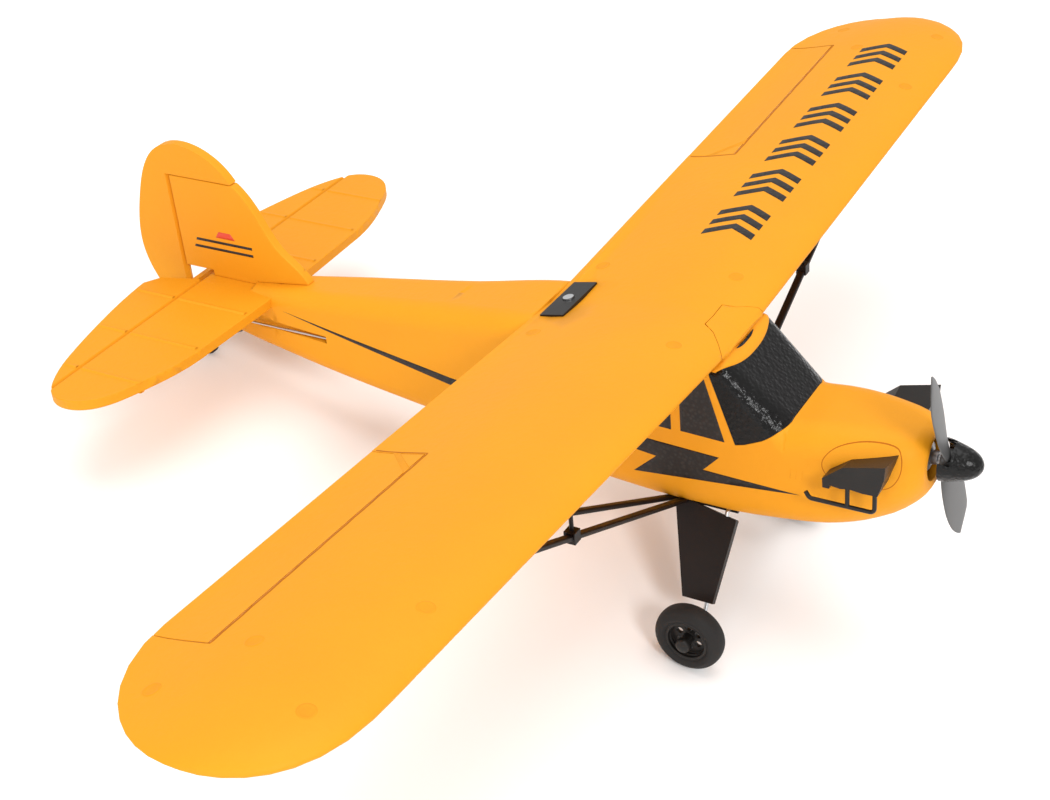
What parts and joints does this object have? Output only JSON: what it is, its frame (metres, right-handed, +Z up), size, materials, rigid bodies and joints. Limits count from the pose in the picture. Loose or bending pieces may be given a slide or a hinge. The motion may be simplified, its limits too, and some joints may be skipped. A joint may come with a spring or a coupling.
{
  "type": "radio-controlled foam airplane",
  "caption": "Small high-wing foam airplane with a tractor propeller, strutted wing, moving control surfaces and a fixed three-wheel undercarriage.",
  "frame": {"origin": "bottom centre of the whole airplane's box, standing on its three wheels", "axes": "+X to the left wing tip, nose towards -Y, +Z up; stands nose-up on main wheels and tail wheel"},
  "size_m": [0.6488, 0.4374, 0.1644],
  "materials": {
    "foam_yellow": "satin",
    "gloss_black": "gloss",
    "black_plastic": "satin",
    "brown_black_plastic": "satin",
    "servo_plastic": "satin",
    "white_plastic": "satin",
    "steel": "bright",
    "motor_metal": "satin",
    "propeller_grey": "satin",
    "grey_plastic": "satin",
    "tyre_black": "matt",
    "carbon": "satin",
    "battery_wrap": "gloss",
    "circuit_board": "satin"
  },
  "bodies": {
    "airframe": {"fuselage_right_half": "foam_yellow", "fuselage_left_half": "foam_yellow", "cowl": "foam_yellow", "wing": "foam_yellow", "stabiliser": "foam_yellow", "fin": "foam_yellow", "wing_screw_plate": "black_plastic", "left_dummy_engine": "black_plastic", "right_dummy_engine": "black_plastic", "gear_block": "black_plastic", "left_leg_fairing": "brown_black_plastic", "right_leg_fairing": "brown_black_plastic", "left_front_strut": "brown_black_plastic", "left_rear_strut": "brown_black_plastic", "right_front_strut": "brown_black_plastic", "right_rear_strut": "brown_black_plastic", "jury_struts": "brown_black_plastic", "left_aileron_servo": "servo_plastic", "right_aileron_servo": "servo_plastic", "elevator_servo": "servo_plastic", "rudder_servo": "servo_plastic", "servo_tray": "servo_plastic", "motor_mount": "servo_plastic", "gear_wire": "steel", "mount_screws": "steel", "wing_screw": "steel", "axle_collars": "steel", "motor_stator": "motor_metal", "tail_wheel_bracket": "grey_plastic", "wing_spars": "carbon", "battery": "battery_wrap", "flight_controller": "circuit_board"},
    "propeller": {"propeller": "propeller_grey", "spinner": "gloss_black", "motor_bell": "motor_metal"},
    "hatch": {"windscreen": "gloss_black", "hatch_frame": "foam_yellow"},
    "left_aileron": {"left_aileron": "foam_yellow", "left_aileron_horn": "white_plastic"},
    "right_aileron": {"right_aileron": "foam_yellow", "right_aileron_horn": "white_plastic"},
    "left_aileron_arm": {"left_aileron_servo_arm": "white_plastic"},
    "right_aileron_arm": {"right_aileron_servo_arm": "white_plastic"},
    "left_aileron_rod": {"left_aileron_pushrod": "steel"},
    "right_aileron_rod": {"right_aileron_pushrod": "steel"},
    "elevator": {"left_elevator": "foam_yellow", "right_elevator": "foam_yellow", "elevator_joiner": "white_plastic"},
    "elevator_arm": {"elevator_servo_arm": "white_plastic"},
    "elevator_rod": {"elevator_pushrod": "steel"},
    "rudder": {"rudder": "foam_yellow", "rudder_horn": "white_plastic", "tail_wheel_leg": "steel"},
    "rudder_arm": {"rudder_servo_arm": "white_plastic"},
    "rudder_rod": {"rudder_pushrod": "steel"},
    "tail_wheel": {"tail_wheel": "tyre_black"},
    "left_wheel": {"left_tyre": "tyre_black", "left_hub": "black_plastic"},
    "right_wheel": {"right_tyre": "tyre_black", "right_hub": "black_plastic"}
  },
  "joints": [
    {"name": "propeller_spin", "type": "hinge", "parent": "airframe", "child": "propeller", "pos_m": [0, -0.17643, 0.10587], "axis": [0, -0.9816, 0.1911], "continuous": true},
    {"name": "hatch_lift", "type": "slide", "parent": "airframe", "child": "hatch", "axis": [0, -0.4361, 0.8999], "range_m": [0, 0.06]},
    {"name": "right_aileron_hinge", "type": "hinge", "parent": "airframe", "child": "right_aileron", "pos_m": [-0.15156, -0.03825, 0.13195], "axis": [0.9983, -0.0112, -0.0575], "range_deg": [-20, 20]},
    {"name": "left_aileron_hinge", "type": "hinge", "parent": "airframe", "child": "left_aileron", "pos_m": [0.15156, -0.03825, 0.13195], "axis": [0.9983, 0.0112, 0.0575], "range_deg": [-20, 20]},
    {"name": "right_aileron_arm_turn", "type": "hinge", "parent": "airframe", "child": "right_aileron_arm", "pos_m": [-0.1518, -0.06716, 0.13341], "axis": [0.9983, -0.0112, -0.0575], "range_deg": [-20, 20]},
    {"name": "right_aileron_rod_turn", "type": "hinge", "parent": "right_aileron_arm", "child": "right_aileron_rod", "pos_m": [-0.15238, -0.06907, 0.12361], "axis": [0.9983, -0.0112, -0.0575], "range_deg": [-20, 20]},
    {"name": "left_aileron_arm_turn", "type": "hinge", "parent": "airframe", "child": "left_aileron_arm", "pos_m": [0.1518, -0.06716, 0.13341], "axis": [0.9983, 0.0112, 0.0575], "range_deg": [-20, 20]},
    {"name": "left_aileron_rod_turn", "type": "hinge", "parent": "left_aileron_arm", "child": "left_aileron_rod", "pos_m": [0.15238, -0.06907, 0.12361], "axis": [0.9983, 0.0112, 0.0575], "range_deg": [-20, 20]},
    {"name": "elevator_hinge", "type": "hinge", "parent": "airframe", "child": "elevator", "pos_m": [0, 0.17428, 0.04962], "axis": [1, 0, 0], "range_deg": [-20, 20]},
    {"name": "elevator_arm_turn", "type": "hinge", "parent": "airframe", "child": "elevator_arm", "pos_m": [-0.0119, -0.00339, 0.08421], "axis": [1, 0, 0], "range_deg": [-20, 20]},
    {"name": "elevator_rod_turn", "type": "hinge", "parent": "elevator_arm", "child": "elevator_rod", "pos_m": [-0.0119, -0.00577, 0.07194], "axis": [1, 0, 0], "range_deg": [-20, 20]},
    {"name": "rudder_hinge", "type": "hinge", "parent": "airframe", "child": "rudder", "pos_m": [0, 0.18855, 0.04704], "axis": [0, 0.1911, 0.9816], "range_deg": [-25, 25]},
    {"name": "rudder_arm_turn", "type": "hinge", "parent": "airframe", "child": "rudder_arm", "pos_m": [0, -0.03595, 0.07394], "axis": [0, 0.1911, 0.9816], "range_deg": [-25, 25]},
    {"name": "rudder_rod_turn", "type": "hinge", "parent": "rudder_arm", "child": "rudder_rod", "pos_m": [0.0125, -0.03595, 0.07394], "axis": [0, 0.1911, 0.9816], "range_deg": [-25, 25]},
    {"name": "tail_wheel_spin", "type": "hinge", "parent": "rudder", "child": "tail_wheel", "pos_m": [0, 0.17964, 0.0065], "axis": [1, 0, 0], "continuous": true},
    {"name": "left_wheel_spin", "type": "hinge", "parent": "airframe", "child": "left_wheel", "pos_m": [0.06, -0.12873, 0.016], "axis": [1, 0, 0], "continuous": true},
    {"name": "right_wheel_spin", "type": "hinge", "parent": "airframe", "child": "right_wheel", "pos_m": [-0.06, -0.12873, 0.016], "axis": [1, 0, 0], "continuous": true}
  ],
  "couplings": [
    {"joint": "left_aileron_hinge", "follows": "right_aileron_hinge", "ratio": -1},
    {"joint": "right_aileron_arm_turn", "follows": "right_aileron_hinge", "ratio": 1},
    {"joint": "right_aileron_rod_turn", "follows": "right_aileron_hinge", "ratio": -1},
    {"joint": "left_aileron_arm_turn", "follows": "right_aileron_hinge", "ratio": -1},
    {"joint": "left_aileron_rod_turn", "follows": "right_aileron_hinge", "ratio": 1},
    {"joint": "elevator_arm_turn", "follows": "elevator_hinge", "ratio": 1},
    {"joint": "elevator_rod_turn", "follows": "elevator_hinge", "ratio": -1},
    {"joint": "rudder_arm_turn", "follows": "rudder_hinge", "ratio": 1},
    {"joint": "rudder_rod_turn", "follows": "rudder_hinge", "ratio": -1}
  ]
}
